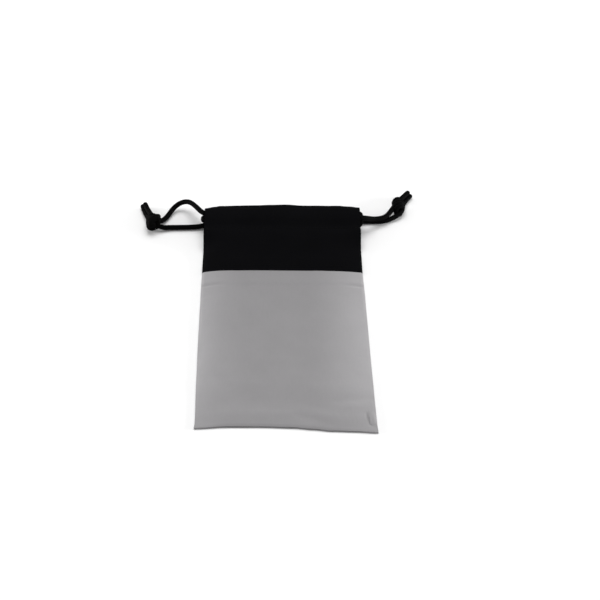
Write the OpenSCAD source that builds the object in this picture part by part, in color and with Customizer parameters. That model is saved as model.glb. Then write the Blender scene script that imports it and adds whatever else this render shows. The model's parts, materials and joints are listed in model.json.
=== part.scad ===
// Soft drawstring pouch for a pair of spectacles, lying flat on its back panel.
// X runs across the pouch, Y along it with the mouth at +Y, and Z up from the surface.
// The origin is the middle of the underside. All sizes are in millimetres.

/* [Pouch] */
// Width of the pouch, seam edge to seam edge
pouch_w = 90; // [84:1:100]
// Length of the pouch, closed end to mouth
pouch_l = 180; // [165:1:200]
// Length of the dark band at the mouth
band_l = 53; // [50:1:60]
// Thickness of one layer of the outer cloth
cloth = 0.5; // [0.4:0.05:0.6]
// Clear height inside the body of the pouch
room = 5.1; // [4.9:0.1:6]
// Flat margin that the side and bottom seams leave along the edge
margin = 1.2; // [1:0.1:1.6]
// Width over which the front panel rounds down to a side seam
shoulder = 11; // [9:0.5:14]
// Length over which the front panel rounds down to the closed end
toe = 14; // [11:0.5:18]

/* [Mouth] */
// Clear height between the front and back hems
mouth_gap = 4.2; // [4.2:0.1:5]
// Depth of the hem, folded edge to the line it swings on
hem_l = 22; // [21:0.5:23]
// Width of each hem, whose ends are turned in
hem_w = 88.4; // [87:0.2:88.6]
// Thickness of the cloth round the cord channel
hem_cloth = 0.4; // [0.35:0.05:0.4]
// Depth of the side vents, mouth to bar tack
vent_l = 34; // [32:1:36]
// Thickness of the inner facing behind each band
facing = 0.4; // [0.3:0.05:0.4]
// Length that the facing runs on past the band, inside the body
facing_run = 13; // [8:1:16]

/* [Drawcords] */
// Diameter of the braided drawcord
cord_d = 2.9; // [2.5:0.1:3]
// Spacing of the two cords, side by side in each hem
cord_pitch = 4; // [3.8:0.1:4.2]
// Distance of the first cord from the folded edge
cord_inset = 7.6; // [7:0.1:7.8]
// Bend radius where a cord turns back at the far side
bight_r = 1.8; // [1.6:0.1:3]

/* [Stitching] */
// Length of one stitch
stitch_l = 2.1; // [1.6:0.1:2.4]
// Distance from one stitch to the next
stitch_pitch = 2.8; // [2.6:0.1:3.2]
// Width of the sewing thread as it lies
thread_w = 0.35; // [0.3:0.05:0.5]
// Height that the thread stands above the cloth
thread_h = 0.2; // [0.15:0.05:0.25]

/* [Hidden] */
$fn = 48;
half_w = pouch_w / 2;
half_l = pouch_l / 2;
border_y = half_l - band_l;
hinge_y = half_l - hem_l;
vent_y = half_l - vent_l;
vent_lift = vent_l - hem_l;

// Cord channel: clearance round the cord, and the heights that follow from it.
cord_clear = 0.2;
hem_h = 2 * hem_cloth + 2 * cord_clear + cord_d;
cord_z = hem_h / 2;
front_hem_z = hem_h + mouth_gap;
flange_h = 2 * cloth;
left_cord_y = half_l - cord_inset;
right_cord_y = left_cord_y - cord_pitch;
right_back_y = left_cord_y + cord_pitch;
run_x = hem_w / 2 + 0.4;

// Heights of the front wall: at the seams, over the body, and at the hem.
seam_top = 2 * cloth;
body_top = seam_top + room;
mouth_top = front_hem_z + flange_h;
swell_y = border_y - facing_run;

// Grid lines of the front wall, closer together where it curves.
side_steps = [0, 0.4, 1.1, 2.4, 4.4, 7.2];
toe_steps = [0, 0.5, 1.4, 3, 5.6, 9.2];
half_xs = concat(
    [for (s = [0:3]) s * (half_w - margin - shoulder) / 3],
    [for (i = [len(side_steps) - 1:-1:0]) half_w - margin - side_steps[i] * shoulder / 11],
    [half_w]
);
wall_xs = concat([for (i = [len(half_xs) - 1:-1:1]) -half_xs[i]], half_xs);
body_ys = concat(
    [-half_l],
    [for (s = toe_steps) margin - half_l + s * toe / 14],
    [for (s = [0:5]) lerp(margin + toe - half_l, swell_y, s / 5)],
    [(swell_y + border_y) / 2, border_y]
);
band_ys = [for (s = [0:8]) lerp(border_y, hinge_y, s / 8)];
facing_ys = [for (s = [0:10]) lerp(swell_y, hinge_y, s / 10)];
facing_half = half_w - margin - 7.2;
facing_xs = [for (s = [-4:4]) s * facing_half / 4];

// Seam strips: the turned-in cut edges, sewn together inside the pouch.
strip_w = 5.9;
strip_h = 0.8;
strip_x = half_w - 2.3;
strip_y = half_l - 2.3;

// Rows of stitching, as distances from the edge they follow.
seam_row_inset = 3.4;
band_row_inset = 4.4;
hem_row_inset = 1.9;

// Routes of the free strands and tails, from the hem to the knot and past it.
left_front_route = [
    [-run_x, left_cord_y, front_hem_z + cord_z], [-45.8, left_cord_y, front_hem_z + cord_z],
    [-47.1, 84.7, 10.1],
    [-49.3, 89.3, 9.4], [-51.3, 93.4, 8.5], [-53.9, 97.4, 7.3], [-56.7, 100.4, 6],
    [-59.4, 101.7, 4.9], [-61.9, 100.7, 3.8], [-63.9, 98.6, 2.9], [-65.4, 96, 2.1],
    [-66.7, 93.1, 1.6], [-68.2, 89.7, 1.5], [-70, 86.8, 2], [-71.9, 83.6, 3.4]
];
left_back_route = [
    [-run_x, left_cord_y, cord_z], [-45.6, left_cord_y, cord_z], [-47.8, 81.4, 1.7], [-52.4, 81.2, 1.5],
    [-57.6, 80.9, 1.5], [-62.8, 80.9, 1.5], [-67.4, 80.4, 1.7], [-70.7, 77.9, 2.9]
];
left_long_tail = [
    [-78, 87.9, 2.9], [-79.3, 92.2, 2], [-80.6, 96.6, 1.5], [-81.7, 100.2, 1.5], [-82.5, 103.5, 1.5]
];
left_short_tail = [
    [-76.6, 88.2, 5.75], [-77.9, 92.1, 4.95], [-79.2, 95.9, 4.35], [-80.1, 99, 4.25],
    [-80.9, 101.5, 4.25]
];
right_front_route = [
    [run_x, right_cord_y, front_hem_z + cord_z], [45.8, right_cord_y, front_hem_z + cord_z],
    [47.9, 79, 9.7],
    [49.8, 80.8, 8.2], [51.4, 82.6, 6.6], [53.6, 84.4, 5.2], [56.5, 85.7, 4.6], [58.8, 86.2, 4.6],
    [61.1, 88.2, 4.6], [63.1, 91.7, 4.6], [64.7, 95.2, 4.5]
];
right_back_route = [
    [run_x, right_back_y, cord_z], [45.6, right_back_y, cord_z], [47.7, 86.9, 1.6], [50.3, 87.6, 1.5],
    [53.2, 87.4, 1.5], [56.1, 87.2, 1.5], [59.4, 87.3, 1.5], [62.2, 88.7, 1.5], [64.9, 90.3, 1.7],
    [67.4, 91.6, 2.5]
];
right_long_tail = [
    [70.2, 104.1, 5.45], [71.8, 107.4, 4.75], [73.3, 110.1, 4.35], [74.8, 112.4, 4.25],
    [76.1, 114.2, 4.25]
];
right_short_tail = [
    [71.8, 102.9, 2.9], [73.3, 107, 2], [74.9, 110.5, 1.5], [76.3, 112.8, 1.5], [77.7, 114.8, 1.5]
];
left_knot_balls = [[-74.6, 77.9, 4.3], [-75.2, 86.3, 4.4]];
right_knot_balls = [[69.1, 93.6, 3.9], [68.3, 102.8, 4.3]];
left_knot_r = 4.2;
right_knot_r = 3.7;

// ---- Functions ----

function lerp(a, b, t) = a + (b - a) * t;
function smooth(t) = t <= 0 ? 0 : t >= 1 ? 1 : t * t * (3 - 2 * t);

// Quarter-ellipse rise from 0 at a seam to 1 at distance r from it.
function rise(s, r) = s <= 0 ? 0 : s >= r ? 1 : sqrt(1 - pow(1 - s / r, 2));

// Height of the front wall along its middle.
function crown(y) = lerp(body_top, mouth_top, smooth((y - swell_y) / (hinge_y - swell_y)));

// Share of the crown that is left towards the side seams, which open into the vents.
function side_share(x, y, inset) =
    let (
        round_off = rise(half_w - margin - inset - abs(x), shoulder),
        lift = smooth((y - vent_y) / vent_lift)
    )
    round_off + lift - round_off * lift;
function end_share(y, inset) = rise(y + half_l - margin - inset, toe);

// Front wall: its outer face, and its inner face, which turns down one cloth inside it.
function wall_z(x, y, inset) =
    seam_top - inset + (crown(y) - seam_top) * side_share(x, y, inset) * end_share(y, inset);
function facing_z(x, y, depth) = wall_z(x, y, cloth) - 0.05 - depth;

function unit(v) = v / norm(v);
function tangent(route, i) = unit(route[min(i + 1, len(route) - 1)] - route[max(i - 1, 0)]);
function ring(centre, along, r, n) =
    let (side = unit(cross(along, [0, 0, 1])), up = cross(side, along))
    [for (k = [0:n - 1]) centre + r * (side * cos(k * 360 / n) + up * sin(k * 360 / n))];
function arc(y, z, r, n) = [
    for (k = [0:n]) [y + r * cos(k * 180 / n - 90), z + r * sin(k * 180 / n - 90)]
];

// ---- Shapes that repeat ----

// Closed shell between an upper and a lower height function on a grid of xs by ys.
module shell(xs, ys, upper, lower) {
    nx = len(xs);
    ny = len(ys);
    top = [for (y = ys) for (x = xs) [x, y, upper(x, y)]];
    bottom = [for (y = ys) for (x = xs) [x, y, lower(x, y)]];
    at = function (i, j) j * nx + i;
    under = nx * ny;
    faces = concat(
        [for (j = [0:ny - 2]) for (i = [0:nx - 2]) each [
            [at(i, j), at(i, j + 1), at(i + 1, j + 1)],
            [at(i, j), at(i + 1, j + 1), at(i + 1, j)],
            [under + at(i, j), under + at(i + 1, j + 1), under + at(i, j + 1)],
            [under + at(i, j), under + at(i + 1, j), under + at(i + 1, j + 1)]
        ]],
        [for (i = [0:nx - 2]) each [
            [under + at(i, 0), at(i, 0), at(i + 1, 0), under + at(i + 1, 0)],
            [under + at(i + 1, ny - 1), at(i + 1, ny - 1), at(i, ny - 1), under + at(i, ny - 1)]
        ]],
        [for (j = [0:ny - 2]) each [
            [under + at(0, j + 1), at(0, j + 1), at(0, j), under + at(0, j)],
            [under + at(nx - 1, j), at(nx - 1, j), at(nx - 1, j + 1), under + at(nx - 1, j + 1)]
        ]]
    );
    polyhedron(concat(top, bottom), faces);
}

// Flat layer of cloth between two corners.
module layer(x0, x1, y0, y1, z, t) {
    translate([x0, y0, z])
        cube([x1 - x0, y1 - y0, t]);
}

// Cord tube swept along a route, with its first end square to the route.
module tube(route, sides = 8) {
    count = len(route);
    rings = [for (i = [0:count - 1]) each ring(route[i], tangent(route, i), cord_d / 2, sides)];
    faces = concat(
        [[for (k = [0:sides - 1]) k]],
        [for (i = [0:count - 2]) for (k = [0:sides - 1])
            let (a = i * sides + k, b = i * sides + (k + 1) % sides)
            each [[a, a + sides, b + sides], [a, b + sides, b]]],
        [[for (k = [sides - 1:-1:0]) (count - 1) * sides + k]]
    );
    color("#17171a")
        polyhedron(rings, faces);
}

// Straight stretch of cord inside a hem.
module cord_run(y, z) {
    color("#17171a")
        translate([-run_x, y, z])
            rotate([0, 90, 0])
                cylinder(d = cord_d, h = 2 * run_x);
}

// Turn-back of a cord from the front hem to the back hem, on the side of x = +1 or -1.
module bight(side, front_y, back_y) {
    drop = norm([front_y - back_y, front_hem_z]);
    lean = atan2(back_y - front_y, front_hem_z);
    color("#17171a")
        mirror([side < 0 ? 1 : 0, 0, 0])
            translate([run_x, back_y, cord_z])
                rotate([lean, 0, 0]) {
                    for (end = [[drop - bight_r, 0], [bight_r, -90]])
                        translate([0, 0, end[0]])
                            rotate([90, 0, 0])
                                rotate_extrude(angle = 90, start = end[1])
                                    translate([bight_r, 0])
                                        circle(d = cord_d);
                    translate([bight_r, 0, bight_r])
                        cylinder(d = cord_d, h = drop - 2 * bight_r);
                }
}

// Overhand knot as the lump it makes.
module knot(balls, r) {
    color("#17171a")
        hull()
            for (b = balls)
                translate(b)
                    sphere(r, $fn = 20);
}

// Stitches along X at a fixed height.
module row_x(y, z, half) {
    n = floor(2 * half / stitch_pitch);
    for (k = [0:n - 1])
        translate([(k - (n - 1) / 2) * stitch_pitch - stitch_l / 2, y - thread_w / 2, z])
            cube([stitch_l, thread_w, thread_h]);
}

// Stitches along Y at a fixed height.
module row_y(x, z, y0, y1) {
    n = floor((y1 - y0) / stitch_pitch);
    for (k = [0:n - 1])
        translate([x - thread_w / 2, y0 + k * stitch_pitch, z])
            cube([thread_w, stitch_l, thread_h]);
}

// Hem: the cloth folded round the cord channel and sewn down as a flat flange.
module hem(z) {
    fold_y = half_l - cord_z;
    outline = concat(
        [[hinge_y, 0]],
        arc(fold_y, cord_z, cord_z, 12),
        [
            [hinge_y + 8.2, hem_h], [hinge_y + 6.8, hem_h - 0.6], [hinge_y + 4.8, flange_h + 0.5],
            [hinge_y + 3.6, flange_h], [hinge_y, flange_h]
        ]
    );
    channel = concat(
        [[hinge_y + 5.6, hem_cloth]],
        arc(fold_y, cord_z, cord_z - hem_cloth, 12),
        [[hinge_y + 8.4, hem_h - hem_cloth], [hinge_y + 7.2, hem_h - hem_cloth - 0.5]]
    );
    color("#1c1c20")
        translate([-hem_w / 2, 0, z])
            rotate([90, 0, 90])
                linear_extrude(hem_w)
                    difference() {
                        polygon(outline);
                        polygon(channel);
                    }
}

// Bar tack: a short block of stitches across the foot of a vent.
module bar_tack(side) {
    tack_n = 7;
    color("#26262a")
        for (k = [0:tack_n - 1])
            translate([side * (half_w - margin / 2) - 0.5, vent_y - 1 - k * 0.7, seam_top])
                cube([1, thread_w, thread_h]);
}

// Strip of turned-in cut edges beside a side seam.
module side_strip(side) {
    color("#55565a")
        mirror([side < 0 ? 1 : 0, 0, 0])
            layer(strip_x - strip_w, strip_x, 9 - half_l, vent_y, cloth, strip_h);
}

// ---- Sub-parts ----

module back_body_panel() {
    color("#9b9ca2") layer(-half_w, half_w, -half_l, border_y, 0, cloth);
}

module front_body_panel() {
    color("#a3a4aa") shell(
        wall_xs, body_ys, function (x, y) wall_z(x, y, 0), function (x, y) wall_z(x, y, cloth)
    );
}

module back_top_band() {
    color("#1a1a1d") layer(-half_w, half_w, border_y, hinge_y, 0, cloth);
}

module front_top_band() {
    color("#1f1f23") shell(
        wall_xs, band_ys, function (x, y) wall_z(x, y, 0), function (x, y) wall_z(x, y, cloth)
    );
}

module back_facing() {
    color("#242428") layer(-facing_half, facing_half, swell_y, hinge_y, cloth, facing);
}

module front_facing() {
    color("#242428")
        shell(
            facing_xs, facing_ys, function (x, y) facing_z(x, y, 0), function (x, y) facing_z(x, y, facing)
        );
}

module back_hem() { hem(0); }
module front_hem() { hem(front_hem_z); }

module left_side_seam() { side_strip(-1); }
module right_side_seam() { side_strip(1); }

module bottom_seam() {
    end_x = facing_half;
    color("#55565a") layer(-end_x, end_x, -strip_y, strip_w - strip_y, cloth, strip_h);
}

module left_seam_stitching() {
    color("#7c7d82") row_y(seam_row_inset - half_w, cloth + strip_h, 10 - half_l, vent_y);
}

module right_seam_stitching() {
    color("#7c7d82") row_y(half_w - seam_row_inset, cloth + strip_h, 10 - half_l, vent_y);
}

module bottom_seam_stitching() {
    color("#7c7d82") row_x(seam_row_inset - half_l, cloth + strip_h, facing_half);
}

module back_band_stitching() {
    color("#2c2c30") row_x(border_y + band_row_inset, cloth + facing, facing_half);
}

module front_band_stitching() {
    row_y0 = border_y + band_row_inset;
    n = floor(2 * (half_w - margin - 1.5) / stitch_pitch);
    color("#2c2c30")
        for (k = [0:n - 1]) {
            x = (k - (n - 1) / 2) * stitch_pitch;
            slope = atan2(wall_z(x + 0.2, row_y0, 0) - wall_z(x - 0.2, row_y0, 0), 0.4);
            translate([x, row_y0, wall_z(x, row_y0, 0) + 0.04])
                rotate([0, -slope, 0])
                    translate([-stitch_l / 2, -thread_w / 2, 0])
                        cube([stitch_l, thread_w, thread_h]);
        }
}

module back_hem_stitching() {
    color("#2c2c30") row_x(hinge_y + hem_row_inset, flange_h, hem_w / 2 - 0.6);
}

module front_hem_stitching() {
    color("#2c2c30") row_x(hinge_y + hem_row_inset, front_hem_z + flange_h, hem_w / 2 - 0.6);
}

module left_bar_tack() { bar_tack(-1); }
module right_bar_tack() { bar_tack(1); }

module left_cord_front_run() { cord_run(left_cord_y, front_hem_z + cord_z); }
module left_cord_back_run() { cord_run(left_cord_y, cord_z); }
module left_cord_bight() { bight(1, left_cord_y, left_cord_y); }
module left_strand_front() { tube(left_front_route); }
module left_strand_back() { tube(left_back_route); }
module left_knot() { knot(left_knot_balls, left_knot_r); }
module left_tail_long() { tube(left_long_tail); }
module left_tail_short() { tube(left_short_tail); }

module right_cord_front_run() { cord_run(right_cord_y, front_hem_z + cord_z); }
module right_cord_back_run() { cord_run(right_back_y, cord_z); }
module right_cord_bight() { bight(-1, right_cord_y, right_back_y); }
module right_strand_front() { tube(right_front_route); }
module right_strand_back() { tube(right_back_route); }
module right_knot() { knot(right_knot_balls, right_knot_r); }
module right_tail_long() { tube(right_long_tail); }
module right_tail_short() { tube(right_short_tail); }

back_body_panel();
front_body_panel();
back_top_band();
front_top_band();
back_facing();
front_facing();
back_hem();
front_hem();
left_side_seam();
right_side_seam();
bottom_seam();
left_seam_stitching();
right_seam_stitching();
bottom_seam_stitching();
back_band_stitching();
front_band_stitching();
back_hem_stitching();
front_hem_stitching();
left_bar_tack();
right_bar_tack();
left_cord_front_run();
left_cord_back_run();
left_cord_bight();
left_strand_front();
left_strand_back();
left_knot();
left_tail_long();
left_tail_short();
right_cord_front_run();
right_cord_back_run();
right_cord_bight();
right_strand_front();
right_strand_back();
right_knot();
right_tail_long();
right_tail_short();
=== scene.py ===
"""A soft drawstring glasses pouch: grey body, black mouth band, and two braided cords with knots."""

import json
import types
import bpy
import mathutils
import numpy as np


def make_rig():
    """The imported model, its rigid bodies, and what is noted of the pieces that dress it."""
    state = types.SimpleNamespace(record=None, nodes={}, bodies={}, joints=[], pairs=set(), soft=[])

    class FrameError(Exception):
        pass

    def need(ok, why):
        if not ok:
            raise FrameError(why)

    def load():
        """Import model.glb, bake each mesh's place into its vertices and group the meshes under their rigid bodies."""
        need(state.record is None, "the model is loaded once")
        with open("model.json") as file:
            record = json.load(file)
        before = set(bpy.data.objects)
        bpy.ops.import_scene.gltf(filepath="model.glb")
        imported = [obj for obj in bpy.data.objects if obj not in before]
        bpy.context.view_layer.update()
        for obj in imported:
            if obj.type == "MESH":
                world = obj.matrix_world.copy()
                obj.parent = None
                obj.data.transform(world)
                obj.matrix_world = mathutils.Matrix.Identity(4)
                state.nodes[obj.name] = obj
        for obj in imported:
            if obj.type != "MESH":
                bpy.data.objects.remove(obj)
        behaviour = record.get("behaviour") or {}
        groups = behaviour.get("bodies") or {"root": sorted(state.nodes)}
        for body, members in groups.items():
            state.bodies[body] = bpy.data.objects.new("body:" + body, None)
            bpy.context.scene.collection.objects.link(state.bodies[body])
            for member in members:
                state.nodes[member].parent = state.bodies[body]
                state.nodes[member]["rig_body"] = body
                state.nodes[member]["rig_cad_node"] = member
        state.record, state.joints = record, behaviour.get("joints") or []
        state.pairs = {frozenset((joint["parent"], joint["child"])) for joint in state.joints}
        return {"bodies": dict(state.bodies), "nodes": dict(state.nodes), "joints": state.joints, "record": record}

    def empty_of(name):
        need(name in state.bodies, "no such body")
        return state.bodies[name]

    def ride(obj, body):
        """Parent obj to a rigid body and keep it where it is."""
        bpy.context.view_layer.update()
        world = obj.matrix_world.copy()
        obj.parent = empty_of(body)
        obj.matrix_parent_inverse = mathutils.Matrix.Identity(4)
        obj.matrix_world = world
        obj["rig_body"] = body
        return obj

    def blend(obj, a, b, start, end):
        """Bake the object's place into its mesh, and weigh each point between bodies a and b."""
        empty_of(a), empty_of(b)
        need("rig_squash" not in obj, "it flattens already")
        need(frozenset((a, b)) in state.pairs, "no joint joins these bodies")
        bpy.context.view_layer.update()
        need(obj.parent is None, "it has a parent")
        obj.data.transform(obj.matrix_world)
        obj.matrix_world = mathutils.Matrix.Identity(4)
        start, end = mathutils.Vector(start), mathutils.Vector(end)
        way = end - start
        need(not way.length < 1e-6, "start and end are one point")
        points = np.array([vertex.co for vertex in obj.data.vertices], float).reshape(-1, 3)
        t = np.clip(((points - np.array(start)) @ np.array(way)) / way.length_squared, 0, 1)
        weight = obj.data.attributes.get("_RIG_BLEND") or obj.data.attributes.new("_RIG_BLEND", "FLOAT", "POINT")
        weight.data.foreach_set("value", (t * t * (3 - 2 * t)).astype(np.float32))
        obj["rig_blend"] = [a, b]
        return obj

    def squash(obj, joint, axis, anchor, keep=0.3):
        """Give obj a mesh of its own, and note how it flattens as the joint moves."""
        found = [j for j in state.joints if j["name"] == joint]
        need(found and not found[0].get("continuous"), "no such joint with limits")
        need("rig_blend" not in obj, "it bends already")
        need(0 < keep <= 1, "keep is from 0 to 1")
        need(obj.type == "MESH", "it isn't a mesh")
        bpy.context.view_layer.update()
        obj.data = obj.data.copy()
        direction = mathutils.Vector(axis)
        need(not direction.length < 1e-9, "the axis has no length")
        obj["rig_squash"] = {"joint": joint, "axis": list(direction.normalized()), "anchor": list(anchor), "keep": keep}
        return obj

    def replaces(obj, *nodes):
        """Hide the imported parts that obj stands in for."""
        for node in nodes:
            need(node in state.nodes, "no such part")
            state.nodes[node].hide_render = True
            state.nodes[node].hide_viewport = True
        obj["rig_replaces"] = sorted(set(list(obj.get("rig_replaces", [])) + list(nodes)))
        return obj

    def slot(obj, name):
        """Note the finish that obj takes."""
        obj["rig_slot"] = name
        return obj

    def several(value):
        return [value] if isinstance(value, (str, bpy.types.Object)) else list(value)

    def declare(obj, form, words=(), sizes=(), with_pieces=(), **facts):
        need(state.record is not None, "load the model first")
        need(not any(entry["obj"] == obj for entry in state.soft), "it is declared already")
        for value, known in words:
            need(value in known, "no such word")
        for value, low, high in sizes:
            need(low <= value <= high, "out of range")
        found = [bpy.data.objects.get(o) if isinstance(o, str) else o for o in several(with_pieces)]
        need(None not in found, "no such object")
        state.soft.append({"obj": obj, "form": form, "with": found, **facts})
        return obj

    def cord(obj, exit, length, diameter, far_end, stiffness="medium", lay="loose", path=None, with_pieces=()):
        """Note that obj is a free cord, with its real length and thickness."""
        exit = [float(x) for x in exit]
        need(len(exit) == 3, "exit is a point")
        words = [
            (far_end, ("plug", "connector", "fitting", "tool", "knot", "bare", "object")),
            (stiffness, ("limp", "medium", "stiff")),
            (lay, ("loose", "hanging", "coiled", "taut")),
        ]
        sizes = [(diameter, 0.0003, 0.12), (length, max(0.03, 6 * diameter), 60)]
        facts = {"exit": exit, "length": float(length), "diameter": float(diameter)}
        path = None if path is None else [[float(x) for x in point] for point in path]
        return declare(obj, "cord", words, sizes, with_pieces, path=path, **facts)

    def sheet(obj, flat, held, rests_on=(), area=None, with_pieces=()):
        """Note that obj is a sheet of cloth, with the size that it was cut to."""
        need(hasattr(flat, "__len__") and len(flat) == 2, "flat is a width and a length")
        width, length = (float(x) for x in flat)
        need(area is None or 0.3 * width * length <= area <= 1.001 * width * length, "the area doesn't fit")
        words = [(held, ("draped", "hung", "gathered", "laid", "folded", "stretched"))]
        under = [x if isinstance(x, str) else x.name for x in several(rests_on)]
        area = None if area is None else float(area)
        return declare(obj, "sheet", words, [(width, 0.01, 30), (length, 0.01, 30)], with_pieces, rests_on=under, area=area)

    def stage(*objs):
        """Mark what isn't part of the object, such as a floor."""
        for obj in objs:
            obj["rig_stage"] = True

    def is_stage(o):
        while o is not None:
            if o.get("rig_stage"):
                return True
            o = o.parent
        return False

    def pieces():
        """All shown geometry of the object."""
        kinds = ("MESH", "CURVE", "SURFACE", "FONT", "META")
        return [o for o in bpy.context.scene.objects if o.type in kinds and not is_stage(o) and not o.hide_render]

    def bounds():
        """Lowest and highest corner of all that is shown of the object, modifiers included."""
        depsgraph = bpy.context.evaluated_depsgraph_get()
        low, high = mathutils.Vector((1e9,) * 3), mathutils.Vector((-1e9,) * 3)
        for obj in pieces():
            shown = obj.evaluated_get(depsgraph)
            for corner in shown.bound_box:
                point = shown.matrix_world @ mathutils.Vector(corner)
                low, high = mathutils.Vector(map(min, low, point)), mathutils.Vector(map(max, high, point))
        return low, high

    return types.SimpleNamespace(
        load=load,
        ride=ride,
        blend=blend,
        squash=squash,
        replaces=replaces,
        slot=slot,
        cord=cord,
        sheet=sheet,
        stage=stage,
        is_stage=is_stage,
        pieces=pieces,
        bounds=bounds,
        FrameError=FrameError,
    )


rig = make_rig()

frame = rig.load()
cad_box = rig.bounds()

import json
import logging
import math
from dataclasses import dataclass, field
from enum import Enum
from typing import Callable, Optional, Sequence

import bmesh
import bpy
from mathutils import Matrix, Vector, noise

MM = 0.001
log = logging.getLogger("glasses_pouch")


class Side(Enum):
    """A side of the pouch, as the sign of its X."""

    LEFT = -1
    RIGHT = 1

    @property
    def word(self) -> str:
        """The side's name as it stands in the names of pieces."""
        return self.name.lower()

    @property
    def far_cord(self) -> str:
        """The body of the cord that draws this side of the mouth inwards."""
        return "right_cord" if self is Side.LEFT else "left_cord"


class Face(Enum):
    """The two cloths of the pouch."""

    BACK = "back"
    FRONT = "front"


# --------------------------------------------------------------------------------------------------
# Small helpers
# --------------------------------------------------------------------------------------------------


def ease(t: float) -> float:
    """Smooth step from 0 to 1.

    Args:
        t: Any number; it is cut to 0..1 first.

    Returns:
        The eased share.
    """
    t = min(1.0, max(0.0, t))
    return t * t * (3 - 2 * t)


def graph(x: float, knots: Sequence[tuple[float, float]]) -> float:
    """Reads a smooth curve through a few points.

    Args:
        x: Where to read it.
        knots: Points (x, value) in rising x.

    Returns:
        The value at x, held level past both ends.
    """
    if x <= knots[0][0]:
        return knots[0][1]
    for (x0, v0), (x1, v1) in zip(knots, knots[1:]):
        if x <= x1:
            return v0 + (v1 - v0) * ease((x - x0) / (x1 - x0))
    return knots[-1][1]


def bump(d: float, width: float) -> float:
    """A bell of height 1 whose slope ends about two widths out."""
    return math.exp(-((d / width) ** 2))


def to_segment(
    x: float, y: float, a: tuple[float, float], b: tuple[float, float]
) -> tuple[float, float, float]:
    """Measures a point against a line drawn on the cloth.

    Args:
        x: Point across the pouch, in mm.
        y: Point along the pouch, in mm.
        a: Start of the line.
        b: End of the line.

    Returns:
        Distance to the line, which side it is on (signed distance), and the share of the way along it.
    """
    dx, dy = b[0] - a[0], b[1] - a[1]
    long = math.hypot(dx, dy)
    t = ((x - a[0]) * dx + (y - a[1]) * dy) / long**2
    side = ((x - a[0]) * dy - (y - a[1]) * dx) / long
    k = min(1.0, max(0.0, t))
    return math.hypot(x - a[0] - k * dx, y - a[1] - k * dy), side, t


def link(name: str, bm: bmesh.types.BMesh, sharp: float = 50.0) -> bpy.types.Object:
    """Turns a bmesh into a smooth-shaded object at the origin.

    Args:
        name: The piece's name.
        bm: Its shape, in millimetres; it is freed.
        sharp: Edges that turn by more than this many degrees stay crisp.

    Returns:
        The new object, in metres.
    """
    bmesh.ops.scale(bm, vec=(MM, MM, MM), verts=bm.verts)
    for f in bm.faces:
        f.smooth = True
    mesh = bpy.data.meshes.new(name)
    bm.to_mesh(mesh)
    bm.free()
    mesh.set_sharp_from_angle(angle=math.radians(sharp))
    piece = bpy.data.objects.new(name, mesh)
    bpy.context.scene.collection.objects.link(piece)
    return piece


def join(name: str, parts: Sequence[bpy.types.Object]) -> bpy.types.Object:
    """Makes one piece of several that share their UV layer.

    Args:
        name: The new piece's name.
        parts: Pieces at the origin; they are removed.

    Returns:
        The joined piece.
    """
    bm = bmesh.new()
    for part in parts:
        bm.from_mesh(part.data)
        bpy.data.objects.remove(part)
    mesh = bpy.data.meshes.new(name)
    bm.to_mesh(mesh)
    bm.free()
    piece = bpy.data.objects.new(name, mesh)
    bpy.context.scene.collection.objects.link(piece)
    return piece


def cloth_piece(
    name: str,
    cells: tuple[int, int],
    place: Callable[[float, float], Vector],
    flat: tuple[float, float],
    thick: float,
    shift: tuple[float, float] = (0.0, 0.0),
) -> bpy.types.Object:
    """Cuts a rectangle of cloth and lays it in place.

    Args:
        name: The piece's name.
        cells: Faces across and along.
        place: Gives the outer surface, in mm, at shares (u, v) of the rectangle.
        flat: Size of the cut rectangle, in mm.
        thick: Thickness of the cloth, in mm; it grows away from the outer surface.
        shift: Where this rectangle starts on its own bolt of cloth, in mm.

    Returns:
        The piece, with a UV map "cloth" in metres.
    """
    bm = bmesh.new()
    uv = bm.loops.layers.uv.new("cloth")
    bmesh.ops.create_grid(bm, x_segments=cells[0], y_segments=cells[1], size=1)
    share = {v: ((v.co.x + 1) / 2, (v.co.y + 1) / 2) for v in bm.verts}
    for f in bm.faces:
        for loop in f.loops:
            u, v = share[loop.vert]
            loop[uv].uv = ((shift[0] + u * flat[0]) * MM, (shift[1] + v * flat[1]) * MM)
    for v, (s, t) in share.items():
        v.co = place(s, t)
    bm.normal_update()
    bmesh.ops.solidify(bm, geom=bm.faces[:], thickness=thick)
    return link(name, bm)


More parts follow.
